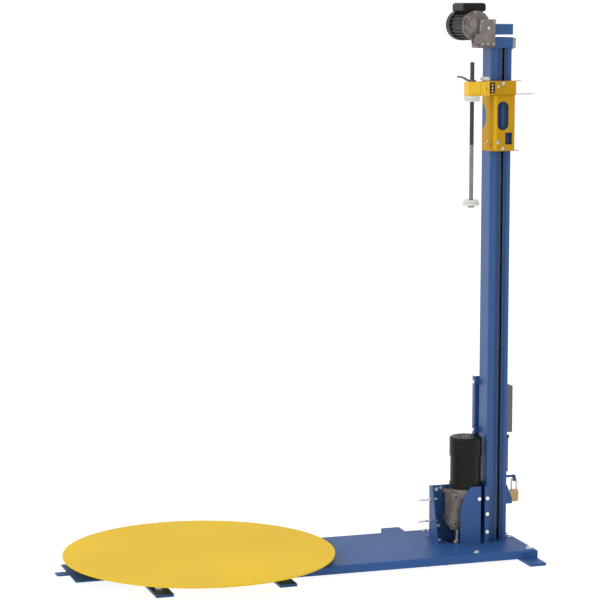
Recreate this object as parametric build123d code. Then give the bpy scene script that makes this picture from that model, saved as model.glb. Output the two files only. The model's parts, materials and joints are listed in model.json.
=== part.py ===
"""Turntable pallet wrapper: a low turntable on a flat base, and a mast with a film carriage.

Millimetres.  +Z is up, +X runs from the turntable to the mast, and the origin is on the floor
under the turntable's axis.  Every sub-part is one STEP file in parts/.
"""
from build123d import *
from math import atan2, cos, degrees, pi, radians, sin
import os

# ---------------------------------------------------------------- driving dimensions
# Turntable
table_radius = 609.6          # 48 in platform
table_top = 94.5
table_plate = 6.35
rim_depth = 6.0               # stiffening ring under the edge
rim_width = 10.0
rim_inset = 40.0
hub_flange_radius = 90.0
hub_flange_thick = 10.0
hub_radius = 38.0
spindle_radius = 25.0
running_gap = 0.05            # radial clearance of shafts in bores
contact_gap = 0.3             # between rolling faces

# Mast tube
mast_size = 101.6             # 4 in square tube
mast_wall = 6.35
mast_x = 1416.4
mast_top = 2375.0
mast_left = mast_x - mast_size / 2
mast_right = mast_x + mast_size / 2
mast_front = -mast_size / 2
mast_rear = mast_size / 2
slot_width = 14.0
slot_x = mast_x + 9.6
slot_flare = (mast_x - 12.4, mast_x + 28.6)
slot_flare_depth = 4.5

# Base
floor_bar = 12.7              # flat feet bars
foot_width = 78.0
foot_half_length = 367.0
left_foot_x = -252.0
middle_foot_x = 305.0
base_half_width = 267.0
base_top = 50.0
base_sheet = 5.0
base_bend = 9.0
base_left = 350.0
base_right = mast_right + 65.8
subframe_half_width = 156.0
subframe_left = -597.0
subframe_sheet = 6.0
subframe_rib_start = -290.0
subframe_rib_y = 135.0
tab_length = 55.0
tab_half_width = 26.0
cross_width = 90.0
cross_x = 1045.0
cross_bottom = 8.0
bolt_across = 20.0
bolt_head = 9.0
pan_half_width = 95.0
pan_sheet = 3.0
pan_bottom = 5.0

# Turntable rollers
roller_radius = 17.2
roller_width = 20.0
roller_y = 280.0
roller_axle = 5.0
roller_cheek = 4.0

# Turntable drive
drive_x = mast_left - 120.6              # output shaft of the gear unit
sprocket_z = 22.0
sprocket_thick = 8.0
driven_tip = 115.0
drive_tip = 40.0
chain_depth = 9.0
chain_height = 12.0
output_radius = 14.0
gearbox_bottom = 125.0
gearbox_top = 286.0
gearbox_half_depth = 60.0
gearbox_left = mast_left - 169.6
gearbox_right = mast_left - 37.6
gearbox_lug_inset = (14.0, 38.0)
motor_x = mast_left - 84.6
motor_radius = 71.0
motor_cowl_radius = 75.0
motor_foot = 304.0
motor_top = 545.0
bracket_left = mast_left - 230.6
bracket_plate = 6.0
bracket_y = 78.0
bracket_top = 304.0
gusset_height = 321.0
stud_levels = (141.0, 243.0)
stud_reach = 62.0
lug_bolt_levels = (106.0, 190.0, 264.0)
lug_flange = 20.0
gusset_gap = 40.0             # between the gusset and the mast
rear_bolt_places = ((bracket_left + 31, 286), (bracket_left + 54, 293), (bracket_left + 43, 113))

# Mast head and lift
head_bottom = mast_top - 44
head_height = 106.0
head_plate = 6.0
head_side = 2.0                # outer side plate
head_slot_low = 47.0          # height of the slot above the box's lower edge
head_slot_height = 11.5
lift_axis_z = mast_top - 31
lift_shaft_radius = 10.0
lift_tip = 24.0
lift_sprocket_thick = 7.0
lift_chain_width = 10.0
idler_z = 110.0
worm_offset = 88.0            # motor axis above the output axis
lift_gearbox_left = mast_left - 75.6
lift_gearbox_right = mast_left + 0.4
lift_gearbox_front = mast_front - 49.2
lift_gearbox_rear = mast_front - 9.2
lift_flange_radius = 65.5
lift_flange_rear = mast_front + 3.8
lift_motor_x = mast_left - 77.1
lift_motor_radius = 70.5
lift_motor_length = 189.0
capacitor_top = mast_top + 157
capacitor_length = 128.0

# Carriage
carriage_bottom = 1865.0
carriage_height = 317.5
carriage_sheet = 4.0
carriage_left = mast_left - 8
carriage_right = mast_right + 6.8
carriage_bend = 22.0          # flat bend at the front left corner
carriage_side_rear = 30.0
carriage_rear_left = mast_left + 20.4
carriage_front = mast_front - 25.2
carriage_rear = mast_rear + 20.7
guide_radius = 8.0
guide_width = 14.0
guide_axle = 4.0
guide_front_x = mast_left + 24
guide_rear_x = mast_right - 35.2
mandrel_x = mast_left - 122.6
mandrel_y = mast_front - 77.2
mandrel_radius = 9.5
mandrel_top = 2270.0
mandrel_bottom = 1619.0
mandrel_joint = 1900.0
arm_width = 60.0
arm_depth = 50.0
arm_height = 62.5
clamp_right = mast_left - 42.6
knob_x = mast_left - 52.6
knob_y = mast_front - 57.2
plug_radius = 37.3
plug_height = 25.0
lower_plug_z = 1628.0

# Controls
panel_left = mast_left - 8.6
panel_right = mast_right + 32.8
panel_bottom = 345.0
panel_top = 808.0
panel_y = mast_rear + 29.2
panel_sheet = 4.0
strap_left = mast_left - 20.6
strap_right = mast_left + 10.4
strap_levels = (545.0, 771.0)
strap_height = 30.0
cabinet_left = mast_left + 29.4
cabinet_right = mast_right + 82.8
cabinet_bottom = 532.0
cabinet_top = 754.0
cabinet_depth = 90.0
door_thick = 18.0
door_gap = 0.5
hinge_pin = 3.0
stem_radius = 8.0
lower_box_left = mast_left + 51.4
lower_box_right = mast_right + 63.8
lower_box_top = 503.0
lower_box_depth = 70.0

# Lockable hasp
hasp_x = mast_right + 58.8
hasp_reach = 38.0
padlock_thick = 20.0
padlock_width = 38.0
padlock_bottom = 221.0
padlock_top = 277.0
shackle_radius = 4.0
shackle_half = 12.5
shackle_top = 330.0
shackle_foot = 262.0

# ---------------------------------------------------------------- worked-out places
table_under = table_top - table_plate
roller_z = table_under - contact_gap - roller_radius
subframe_top = base_top - base_sheet
head_top = head_bottom + head_height
lift_motor_z = lift_axis_z + worm_offset
carriage_top = carriage_bottom + carriage_height
guide_front_y = mast_front - contact_gap - guide_radius
guide_rear_y = mast_rear + contact_gap + guide_radius
guide_levels = {"top": carriage_top - 34, "bottom": carriage_bottom + 32}
arm_bottom = carriage_top - arm_height
cabinet_front = panel_y + panel_sheet
cabinet_rear = cabinet_front + cabinet_depth
door_y = cabinet_rear + door_gap
hinge_x = cabinet_right + 8
hinge_y = door_y + door_thick / 2
hinge_levels = (cabinet_bottom + 45, cabinet_top - 50)
feet_x = {"left": left_foot_x, "middle": middle_foot_x, "right": base_right - foot_width / 2 - 2}
roller_places = {
    "front_left": (left_foot_x, -roller_y),
    "rear_left": (left_foot_x, roller_y),
    "front_right": (middle_foot_x, -roller_y),
    "rear_right": (middle_foot_x, roller_y),
}
foot_bolt_places = [
    (x, side * 258) for x in (left_foot_x + 20, middle_foot_x + 30) for side in (-1, 1)
]
base_bolt_places = [
    (base_right - 28, -base_half_width + 38), (base_right - 28, base_half_width - 38),
    (base_right - 28, 12), (drive_x + 3, -224), (drive_x + 3, 224),
    (bracket_left + 36, 50), (bracket_left + 40, 238),
]
gearbox_lugs = [
    (x, z)
    for x in (gearbox_left + gearbox_lug_inset[0], gearbox_right - gearbox_lug_inset[1])
    for z in (gearbox_bottom + 24, gearbox_top - 12)
]
cabinet_x = (cabinet_left + cabinet_right) / 2
door_buttons = {               # x, z, cap radius, cap height
    "start_button": (cabinet_x - 38, cabinet_top - 140, 11.0, 9.0),
    "stop_button": (cabinet_x + 38, cabinet_top - 140, 11.0, 9.0),
    "emergency_stop": (cabinet_x, cabinet_top - 185, 20.0, 22.0),
    "power_switch": (cabinet_x, cabinet_top - 60, 24.0, 20.0),
}


# ---------------------------------------------------------------- small helpers
def block(x0, x1, y0, y1, z0, z1):
    """A box between two corners."""
    return Pos((x0 + x1) / 2, (y0 + y1) / 2, (z0 + z1) / 2) * Box(x1 - x0, y1 - y0, z1 - z0)


def rod_z(x, y, z0, z1, radius):
    return Pos(x, y, (z0 + z1) / 2) * Cylinder(radius, z1 - z0)


def rod_x(x0, x1, y, z, radius):
    return Pos((x0 + x1) / 2, y, z) * Rot(0, 90, 0) * Cylinder(radius, x1 - x0)


def rod_y(x, y0, y1, z, radius):
    return Pos(x, (y0 + y1) / 2, z) * Rot(90, 0, 0) * Cylinder(radius, y1 - y0)


def hex_bolt(across, head, shank_radius, shank):
    """A hexagon bolt standing on z = 0, its shank going down."""
    hexagon = extrude(RegularPolygon(across / 2, 6, major_radius=False), head)
    return hexagon + rod_z(0, 0, -shank, 0.5, shank_radius)


def soften(part, radius, axis):
    """Round the edges that run along an axis."""
    return fillet(part.edges().filter_by(axis), radius)


def save(name, shape):
    os.makedirs("parts", exist_ok=True)
    if isinstance(shape, list):
        shape = Compound(children=shape)
    export_step(shape, f"parts/{name}.step")


# ---------------------------------------------------------------- base
def base_cover():
    """Bent-sheet tunnel between turntable and mast, with holes for the drive and bolts."""
    outer = block(base_left, base_right, -base_half_width, base_half_width, floor_bar, base_top)
    top_edges = outer.edges().filter_by(Axis.X).sort_by(Axis.Z)[-2:]
    end_edge = outer.edges().filter_by(Axis.Y).sort_by(Axis.X)[-2:].sort_by(Axis.Z)[-1:]
    outer = fillet(top_edges + end_edge, base_bend)
    hollow = block(
        base_left - 10, base_right - base_sheet,
        -base_half_width + base_sheet, base_half_width - base_sheet,
        floor_bar - 10, subframe_top,
    )
    hollow_edges = hollow.edges().filter_by(Axis.X).sort_by(Axis.Z)[-2:]
    cover = outer - fillet(hollow_edges, base_bend - base_sheet)
    cover -= block(
        cross_x - cross_width / 2 - 1, cross_x + cross_width / 2 + 1,
        base_half_width - 12, base_half_width + 5, 0, subframe_top,
    )
    opening = soften(
        block(drive_x - 50, drive_x + 42, -24, 66, subframe_top - 5, base_top + 5), 12, Axis.Z
    )
    cover -= opening
    for x, y in base_bolt_places:
        cover -= rod_z(x, y, subframe_top - 5, base_top + 5, 5.2)
    return cover


def chain_pan():
    """Sheet channel that closes the base below the drive chain."""
    x0 = drive_x - 105
    x1 = drive_x + 85
    half = pan_half_width
    pan = block(x0, x1, -half, half, pan_bottom, subframe_top)
    return pan - block(x0 - 5, x1 + 5, -half + pan_sheet, half - pan_sheet,
                       pan_bottom + pan_sheet, subframe_top + 5)


def turntable_subframe():
    """Flat plate that carries the pivot, with two ribs below it and a locating tab."""
    sheet = subframe_sheet
    right = base_left + 60
    plate_bottom = subframe_top - sheet
    body = block(subframe_left, right, -subframe_half_width, subframe_half_width,
                 plate_bottom, subframe_top)
    body = soften(body, 3, Axis.Z)
    for side in (-1, 1):
        y = side * subframe_rib_y
        body += block(subframe_rib_start, right, y - sheet / 2, y + sheet / 2,
                      floor_bar, plate_bottom + 1)
    body += block(subframe_left - tab_length, subframe_left + 5, -tab_half_width, tab_half_width,
                  plate_bottom, subframe_top)
    return body - rod_z(0, 0, 30, 60, hub_radius + 5)


def foot_bar(x):
    """Flat bar across the machine, with the bolt holes of the turntable feet."""
    bar = block(x - foot_width / 2, x + foot_width / 2, -foot_half_length, foot_half_length,
                0, floor_bar)
    for bolt_x, bolt_y in foot_bolt_places:
        if abs(bolt_x - x) < foot_width / 2:
            bar -= rod_z(bolt_x, bolt_y, -5, floor_bar + 5, 5.2)
    return bar


def pivot_foot_plate():
    """Flat plate on the floor under the pivot; it closes the channel below."""
    half = subframe_rib_y + subframe_sheet
    return block(-75, 75, -half, half, 0, floor_bar)


def crossmember():
    """Inverted channel under the base that sticks out behind as a rear outrigger."""
    sheet = 5.0
    x0 = cross_x - cross_width / 2
    x1 = cross_x + cross_width / 2
    front = -base_half_width + base_bend + 1
    body = block(x0, x1, front, foot_half_length, cross_bottom, subframe_top)
    body -= block(x0 + sheet, x1 - sheet, front - 5, foot_half_length - sheet, 0,
                  subframe_top - sheet)
    way = driven_tip + chain_depth + 12
    body -= block(x0 - 5, x1 + 5, -way, way, 0, subframe_top - sheet)
    return body


def pivot_spindle():
    """Fixed spindle that the turntable hub turns on."""
    foot = rod_z(0, 0, floor_bar, floor_bar + 3, 46)
    post = rod_z(0, 0, floor_bar, table_under - hub_flange_thick + 4, spindle_radius)
    return foot + chamfer(post.edges().sort_by(Axis.Z)[-1:], 1.5)


def roller_bracket(x, y):
    """Fork that holds one roller, with its axle on a line through the pivot."""
    turn = degrees(atan2(y, x))
    half = roller_width / 2 + 1
    fork = block(-half - roller_cheek, half + roller_cheek, -16, 16, floor_bar, floor_bar + 4)
    for side in (-1, 1):
        inner = side * half
        outer = side * (half + roller_cheek)
        cheek = block(min(inner, outer), max(inner, outer), -16, 16, floor_bar, roller_z + 10)
        fork += cheek
    fork += rod_x(-half - roller_cheek - 3, half + roller_cheek + 3, 0, roller_z, roller_axle)
    return Pos(x, y, 0) * Rot(0, 0, turn) * fork


def support_roller(x, y):
    """Roller under the platform, on a plain bore."""
    turn = degrees(atan2(y, x))
    wheel = rod_x(-roller_width / 2, roller_width / 2, 0, 0, roller_radius)
    wheel = chamfer(wheel.edges(), 1.2)
    wheel -= rod_x(-roller_width, roller_width, 0, 0, roller_axle + running_gap)
    return Pos(x, y, roller_z) * Rot(0, 0, turn) * wheel


def frame_bolts():
    """Hexagon bolts of the base, the feet and the mast lugs."""
    bolts = []
    for x, y in base_bolt_places:
        bolts.append(Pos(x, y, base_top) * hex_bolt(bolt_across, bolt_head, 5, 16))
    for x, y in foot_bolt_places:
        bolts.append(Pos(x, y, floor_bar) * hex_bolt(bolt_across, bolt_head, 5, floor_bar - 2))
    return bolts


# ---------------------------------------------------------------- turntable
def turntable_disc():
    """Flat round platform with a small centre hole."""
    disc = rod_z(0, 0, table_under, table_top, table_radius)
    disc = chamfer(disc.edges().sort_by(Axis.Z)[-1:], 0.8)
    return disc - rod_z(0, 0, table_under - 5, table_top + 5, 5)


def turntable_rim():
    """Stiffening ring under the edge of the platform."""
    outer = table_radius - rim_inset
    ring = rod_z(0, 0, table_under - rim_depth, table_under, outer)
    return ring - rod_z(0, 0, table_under - rim_depth - 5, table_under + 5, outer - rim_width)


def sprocket(tip, thick, teeth, bore):
    """Toothed chain wheel in the XY plane, centred on the origin."""
    wheel = Cylinder(tip, thick)
    pitch = 2 * pi * (tip - 3) / teeth
    gullet = Cylinder(pitch * 0.32, thick * 2)
    for tooth in range(teeth):
        turn = 2 * pi * tooth / teeth
        wheel -= Pos(tip * cos(turn), tip * sin(turn), 0) * gullet
    return wheel - Cylinder(bore, thick * 2)


def turntable_hub():
    """Hub with its bolting flange above and the driven chain wheel below."""
    low = sprocket_z - sprocket_thick / 2
    hub = rod_z(0, 0, low, table_under, hub_radius)
    hub += rod_z(0, 0, table_under - hub_flange_thick, table_under, hub_flange_radius)
    wheel = sprocket(driven_tip, sprocket_thick, 38, hub_radius - 1)
    for turn in range(0, 360, 60):
        x = 76 * cos(radians(turn))
        y = 76 * sin(radians(turn))
        wheel -= Pos(x, y, 0) * Cylinder(22, sprocket_thick * 2)
    hub += Pos(0, 0, sprocket_z) * wheel
    bore_top = table_under - hub_flange_thick + 6
    return hub - rod_z(0, 0, low - 5, bore_top, spindle_radius + running_gap)


# ---------------------------------------------------------------- turntable drive
def chain_loop(tip_a, tip_b, distance, depth, height):
    """Closed chain around two wheels: wheel A at the origin and wheel B at +X."""
    inner_a = tip_a + contact_gap
    inner_b = tip_b + contact_gap

    def outline(ra, rb):
        lean = (ra - rb) / distance
        rise = (1 - lean * lean) ** 0.5
        pa = (ra * lean, ra * rise)
        pb = (distance + rb * lean, rb * rise)
        top = Line(pa, pb)
        right = ThreePointArc(pb, (distance + rb, 0), (pb[0], -pb[1]))
        under = Line((pb[0], -pb[1]), (pa[0], -pa[1]))
        left = ThreePointArc((pa[0], -pa[1]), (-ra, 0), pa)
        return make_face(Curve() + [top, right, under, left])

    ring = extrude(outline(inner_a + depth, inner_b + depth), height / 2, both=True)
    ring -= extrude(outline(inner_a, inner_b), height, both=True)
    groove = extrude(outline(inner_a + depth + 1, inner_b + depth + 1), height * 0.18, both=True)
    groove -= extrude(outline(inner_a + depth * 0.75, inner_b + depth * 0.75), height, both=True)
    return ring - groove


def drive_chain():
    loop = chain_loop(driven_tip, drive_tip, drive_x, chain_depth, chain_height)
    return Pos(0, 0, sprocket_z) * loop


def drive_sprocket():
    """Output shaft of the gear unit with the small chain wheel at its lower end."""
    wheel = sprocket(drive_tip, sprocket_thick, 13, output_radius - 1)
    boss = rod_z(0, 0, sprocket_z, base_top + 6, 20)
    low = sprocket_z - sprocket_thick / 2
    shaft = rod_z(0, 0, low, gearbox_bottom + 12, output_radius)
    return Pos(drive_x, 0, 0) * (Pos(0, 0, sprocket_z) * wheel + boss + shaft)


def turntable_gearbox():
    """Cast gear unit: motor flange above, output shaft below, bolt lugs at its corners."""
    depth = gearbox_half_depth
    body = block(gearbox_left, gearbox_right, -depth, depth, gearbox_bottom, gearbox_top)
    body = soften(body, 22, Axis.Z)
    body = fillet(body.edges().group_by(Axis.Z)[0], 8)
    body += rod_z(motor_x, 0, gearbox_top - 22, motor_foot, motor_cowl_radius)
    body += rod_z(drive_x, 0, gearbox_bottom - 14, gearbox_bottom + 5, 38)
    for x, z in gearbox_lugs:
        body += rod_y(x, -depth - 6, bracket_y, z, 14)
    for z in (gearbox_bottom + 55, gearbox_bottom + 85, gearbox_bottom + 115):
        body += block(gearbox_left - 4, gearbox_left + 8, -depth + 24, depth - 24, z, z + 6)
    for x, z in gearbox_lugs:
        body -= rod_y(x, -depth - 10, -depth + 6, z, 6)
    hole = rod_z(drive_x, 0, 0, gearbox_bottom + 14, output_radius + running_gap)
    return body - hole


def turntable_motor():
    """Smooth motor body standing on the gear unit, with its terminal box behind."""
    body_top = motor_top - 66
    body = rod_z(motor_x, 0, motor_foot, body_top, motor_radius)
    flare = chamfer(rod_z(motor_x, 0, motor_foot, motor_foot + 30, motor_cowl_radius)
                    .edges().sort_by(Axis.Z)[-1:], motor_cowl_radius - motor_radius)
    body += flare
    body += block(motor_x - 34, motor_x + 34, motor_radius - 16, motor_radius + 34,
                  motor_foot + 62, motor_foot + 142)
    return body


def motor_cowl(height, radius, wall=2.5):
    """Fan cover standing on z = 0, domed, with a ring of air slots in its top."""
    cowl = fillet(Cylinder(radius, height, align=(Align.CENTER, Align.CENTER, Align.MIN))
                  .edges().sort_by(Axis.Z)[-1:], 10)
    hollow = Cylinder(radius - wall, height - wall,
                      align=(Align.CENTER, Align.CENTER, Align.MIN))
    cowl -= fillet(hollow.edges().sort_by(Axis.Z)[-1:], 10 - wall)
    for turn in range(0, 360, 20):
        slot = block(radius * 0.3, radius * 0.75, -2.5, 2.5, height - 2 * wall, height + 5)
        cowl -= Rot(0, 0, turn) * slot
    return cowl


def turntable_motor_cowl():
    height = 90.0
    return Pos(motor_x, 0, motor_top - height) * motor_cowl(height, motor_cowl_radius)


def drive_bracket():
    """Welded bracket: side plate, rear plate, foot flange and the mast's lug plate."""
    t = bracket_plate
    low = base_top
    high = bracket_top
    rear = block(bracket_left, mast_left - t, bracket_y, bracket_y + t, low, high)
    for x, z in gearbox_lugs:
        rear -= rod_y(x, bracket_y - 5, bracket_y + 15, z, 5.5)
    side_face = make_face(Polyline(
        (bracket_y + t, low), (-20, low), (bracket_y - 34, high), (bracket_y + t, high), close=True
    ))
    side = extrude(Plane.YZ * side_face, t)
    side = Pos(bracket_left, 0, 0) * side
    for z in stud_levels:
        side -= rod_x(bracket_left - 5, bracket_left + 15, 62, z, 6)
    flange = block(bracket_left, mast_left - t, bracket_y + t, bracket_y + 40, low, low + t)
    lug = block(mast_left - t, mast_left, -84, bracket_y + t, low, gusset_height)
    lug += block(mast_left - lug_flange, mast_left, -84, -84 + t, low, gusset_height)
    return rear + side + flange + lug


def front_gusset():
    """Bent plate in front of the gear unit, bolted back to the mast's lug plate."""
    t = bracket_plate
    left = drive_x - 20
    right = mast_left - gusset_gap
    top = gusset_height
    edge = Polyline((left, base_top), (right, base_top), (right, top), (right - 48, top))
    curve = ThreePointArc((right - 48, top), (left + 14, top - 62), (left, top - 118))
    down = Line((left, top - 118), (left, base_top))
    face = make_face(Curve() + [edge, curve, down])
    plate = Pos(0, -bracket_y, 0) * extrude(Plane.XZ * face, t)
    return plate + block(right - t, right, -bracket_y - 1, -61, base_top, gearbox_top - 24)


def bracket_studs():
    """Two long jacking studs with their nuts, and the bolt heads of the bracket plates."""
    pieces = []
    for z in stud_levels:
        stud = rod_x(bracket_left - stud_reach, bracket_left + 30, 62, z, 5)
        nut = Rot(0, -90, 0) * extrude(RegularPolygon(9, 6, major_radius=False), 8)
        stud += Pos(bracket_left, 62, z) * nut
        stud += Pos(bracket_left + bracket_plate + 8, 62, z) * nut
        pieces.append(stud)
    front_heads = [(mast_left - lug_flange / 2, z) for z in lug_bolt_levels]
    front_heads.append((mast_left - gusset_gap - 10, lug_bolt_levels[-1]))
    for x, z in front_heads:
        head = Rot(90, 0, 0) * extrude(RegularPolygon(8, 6, major_radius=False), 7)
        pieces.append(Pos(x, -bracket_y - bracket_plate, z) * head)
    for x, z in rear_bolt_places:
        head = Rot(90, 0, 0) * extrude(RegularPolygon(8, 6, major_radius=False), 6)
        pieces.append(Pos(x, bracket_y, z) * head)
    return pieces


# ---------------------------------------------------------------- mast and lift
def mast_tube():
    """Square tube with a full-height slot for the carriage's chain tongue."""
    half = mast_size / 2
    tube = block(mast_left, mast_right, -half, half, base_top, mast_top)
    tube = soften(tube, 4, Axis.Z)
    inner = half - mast_wall
    tube -= block(mast_x - inner, mast_x + inner, -inner, inner, 0, mast_top + 10)
    tube -= block(slot_x - slot_width / 2, slot_x + slot_width / 2, -half - 5, -inner + 5,
                  base_top - 5, mast_top + 5)
    flare = make_face(Polyline(
        (slot_flare[0], -half), (slot_x - slot_width / 2, -half + slot_flare_depth),
        (slot_x + slot_width / 2, -half + slot_flare_depth), (slot_flare[1], -half),
        (slot_x, -half - 5), close=True,
    ))
    tube -= Pos(0, 0, base_top - 5) * extrude(flare, mast_top)
    tube -= rod_x(mast_left - 5, mast_right + 5, 0, lift_axis_z, lift_shaft_radius + 2)
    tube -= rod_x(mast_left - 5, mast_right + 5, 0, idler_z, 8)
    tube -= block(mast_left + 8, mast_left + 42, -half - 5, -inner + 5, base_top - 5,
                  base_top + 9)
    return tube


def head_box():
    """Plate box on the mast head with a slot right through it above the mast's end."""
    x0 = mast_left - head_plate
    x1 = mast_right + head_side
    y1 = mast_rear + head_plate
    box = soften(block(x0, x1, -y1, y1, head_bottom, head_top), 1.5, Axis.Z)
    box -= block(mast_left, mast_right, mast_front, mast_rear, head_bottom - 5,
                 head_top - head_plate)
    low = head_bottom + head_slot_low
    box -= block(mast_left, x1 + 5, -y1 - 5, y1 + 5, low, low + head_slot_height)
    return box - rod_x(x0 - 5, x1 + 5, 0, lift_axis_z, lift_shaft_radius + running_gap)


def head_bearing():
    """Flange bearing on the mast's outer side, with its tall mounting plate."""
    x0 = mast_right + head_side
    low, high = lift_axis_z - 26, head_bottom + head_slot_low - 1
    bearing = soften(block(x0, x0 + 9, -30, 30, low, high), 10, Axis.X)
    bearing += soften(block(x0 + 8, x0 + 28, -24, 24, lift_axis_z - 17, high - 2), 9, Axis.X)
    for y in (-20, 20):
        bearing += rod_x(x0 + 8, x0 + 15, y, low + 9, 5)
    return bearing - rod_x(x0 - 5, x0 + 40, 0, lift_axis_z, lift_shaft_radius + running_gap)


def lift_shaft():
    """Head shaft from the worm gear unit, with the upper chain wheel."""
    shaft = rod_x(lift_gearbox_left + 24, mast_right + head_side + 22, 0, lift_axis_z,
                  lift_shaft_radius)
    wheel = Rot(0, 90, 0) * sprocket(lift_tip, lift_sprocket_thick, 13, lift_shaft_radius - 1)
    return shaft + Pos(slot_x, 0, lift_axis_z) * wheel


def idler_sprocket():
    """Lower chain wheel on a plain bore."""
    wheel = Rot(0, 90, 0) * sprocket(lift_tip, lift_sprocket_thick, 13, 14)
    boss = Rot(0, 90, 0) * (Cylinder(15, 22) - Cylinder(8 + running_gap, 40))
    return Pos(slot_x, 0, idler_z) * (wheel + boss)


def idler_axle():
    """Fixed axle across the mast for the lower chain wheel."""
    return rod_x(mast_left, mast_right, 0, idler_z, 8)


def lift_chain():
    """Lifting chain inside the mast, around the upper and lower wheels."""
    loop = chain_loop(lift_tip, lift_tip, lift_axis_z - idler_z, chain_depth, lift_chain_width)
    return Pos(slot_x, 0, idler_z) * Rot(0, -90, 0) * loop


def lift_gearbox():
    """Cast worm gear unit beside the mast head, with its round motor flange."""
    left, right = lift_gearbox_left, lift_gearbox_right
    front, rear = lift_gearbox_front, lift_gearbox_rear
    side = mast_left - head_plate
    low = head_bottom + 8
    body = block(left, right, front, rear, low, lift_motor_z + 27)
    body = chamfer(body.faces().sort_by(Axis.Y)[0].edges(), 3)
    body += rod_x(left - 22, left + 8, front + 20, lift_motor_z - 62, 31)
    body -= rod_x(left - 24, left - 16, front + 20, lift_motor_z - 62, 22)
    body += rod_y(lift_motor_x, rear - 1, lift_flange_rear, lift_motor_z, lift_flange_radius)
    body += rod_y(lift_motor_x, rear - 16, rear, lift_motor_z, lift_flange_radius - 8)
    body += rod_y(lift_motor_x - 22, rear - 24, rear - 10, lift_motor_z + 8, 22)
    housing = block(left + 10, side, rear - 2, 24, lift_axis_z - 14, lift_axis_z + 16.5)
    body += chamfer(housing.edges().filter_by(Axis.X).group_by(Axis.Z)[0], 6)
    for x in (left + 10, right - 12):
        body += rod_z(x, front + 12, low - 4, low + 10, 9)
    body += block(right - 24, right + 1, front - 2, front + 14, lift_motor_z + 14,
                  lift_motor_z + 22)
    bore = rod_x(left + 20, right + 5, 0, lift_axis_z, lift_shaft_radius + running_gap)
    return body - bore


def lift_motor():
    """Motor behind the worm gear unit, finned, with a plain fan cover."""
    y0 = lift_flange_rear
    y1 = y0 + lift_motor_length
    x = lift_motor_x
    z = lift_motor_z
    body = rod_y(x, y0, y1 - 40, z, lift_motor_radius - 8)
    body += rod_y(x, y0, y0 + 16, z, lift_motor_radius - 4)
    cowl = rod_y(x, y1 - 48, y1, z, lift_motor_radius)
    body += fillet(cowl.edges().sort_by(Axis.Y)[-1:], 8)
    for turn in range(0, 360, 15):
        fin = block(lift_motor_radius - 10, lift_motor_radius - 2, y0 + 16, y1 - 48, -1.6, 1.6)
        body += Pos(x, 0, z) * Rot(0, turn + 7.5, 0) * fin
    return body


def lift_capacitor_box():
    """Long terminal and capacitor box on top of the motor, narrower below."""
    x = lift_motor_x
    saddle = lift_motor_z + lift_motor_radius
    low = saddle - 20
    half = 55.0
    face = make_face(Polyline(
        (x - half + 18, low), (x + 20, low), (x + half, saddle - 4), (x + half, capacitor_top),
        (x - half, capacitor_top), (x - half, saddle - 4), close=True,
    ))
    rear = lift_flange_rear + 12 + capacitor_length
    box = Pos(0, rear, 0) * extrude(Plane.XZ * face, capacitor_length)
    box = fillet(box.edges().group_by(Axis.Z)[-1], 12)
    return box - rod_y(x, -200, 300, lift_motor_z, lift_motor_radius + 0.3)


# ---------------------------------------------------------------- carriage
def carriage_frame():
    """Bent-sheet sleeve around the mast with its windows, band and stops."""
    s = carriage_sheet
    x0, x1 = carriage_left, carriage_right
    y0, y1 = carriage_front, carriage_rear
    z0, z1 = carriage_bottom, carriage_top
    bend = carriage_bend
    slant = s * 0.42
    outline = make_face(Polyline(
        (x0, carriage_side_rear), (x0, y0 + bend), (x0 + bend, y0), (x1, y0), (x1, y1),
        (carriage_rear_left, y1), (carriage_rear_left, y1 - s), (x1 - s, y1 - s),
        (x1 - s, y0 + s), (x0 + bend + slant, y0 + s), (x0 + s, y0 + bend + slant),
        (x0 + s, carriage_side_rear), close=True,
    ))
    sleeve = Pos(0, 0, z0) * extrude(outline, z1 - z0)
    oval = extrude(Plane.XZ * SlotOverall(130, 54, rotation=90), 20, both=True)
    sleeve -= Pos(mast_x, y0, z0 + 159.5) * oval
    sleeve -= block(x1 - 46, x1 - 12, y0 - 10, y0 + 10, z0 + 30, z0 + 84)
    side_cut = extrude(Plane.YZ * Ellipse(47, 57), 20, both=True)
    sleeve -= Pos(x0, carriage_side_rear, z0 + 156) * side_cut
    sleeve -= Pos(x1, 10, z0 + 156) * side_cut
    sleeve += block(clamp_right - 20, x1 + 4, y0 - s, y0 + 0.5, arm_bottom, z1)
    sleeve += block(x0, x0 + bend, y0, y0 + bend, z1 - s, z1)
    sleeve += block(x0, x0 + bend, y0, y0 + bend, arm_bottom, arm_bottom + s)
    mount = block(clamp_right, x0 + 28, y0 - 9, y0 - s + 0.5, arm_bottom, z1)
    mount -= block(clamp_right + 22, x0 + 15, y0 - 20, y0 - s, arm_bottom + 8, z1 - 6)
    sleeve += mount
    for length, z in ((38, z1 - 3), (100, arm_bottom), (30, z0)):
        sleeve += block(x1 - 1, x1 + length, -60, -44, z, z + 3)
    for level in guide_levels.values():
        sleeve += rod_x(x0 + 1, guide_front_x + guide_width / 2 + 4, guide_front_y, level,
                        guide_axle)
        sleeve += rod_x(x0 - 2, x0 + 8, guide_front_y, level, 7)
        sleeve += rod_x(guide_rear_x - guide_width / 2 - 4, x1 - 1, guide_rear_y, level,
                        guide_axle)
    return sleeve


def chain_tongue():
    """Bar in the mast's slot that ties the carriage to the lifting chain."""
    rear = -lift_tip - chain_depth - 2 * contact_gap
    half = slot_width / 2 - contact_gap
    z0 = carriage_bottom
    bar = block(slot_x - half, slot_x + half, mast_front - 1, rear, z0 + 2, z0 + 276)
    for z in (z0 + 2, z0 + 250):
        bar += block(slot_x - half, slot_x + half, carriage_front + carriage_sheet,
                     mast_front, z, z + 26)
    return bar


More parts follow.
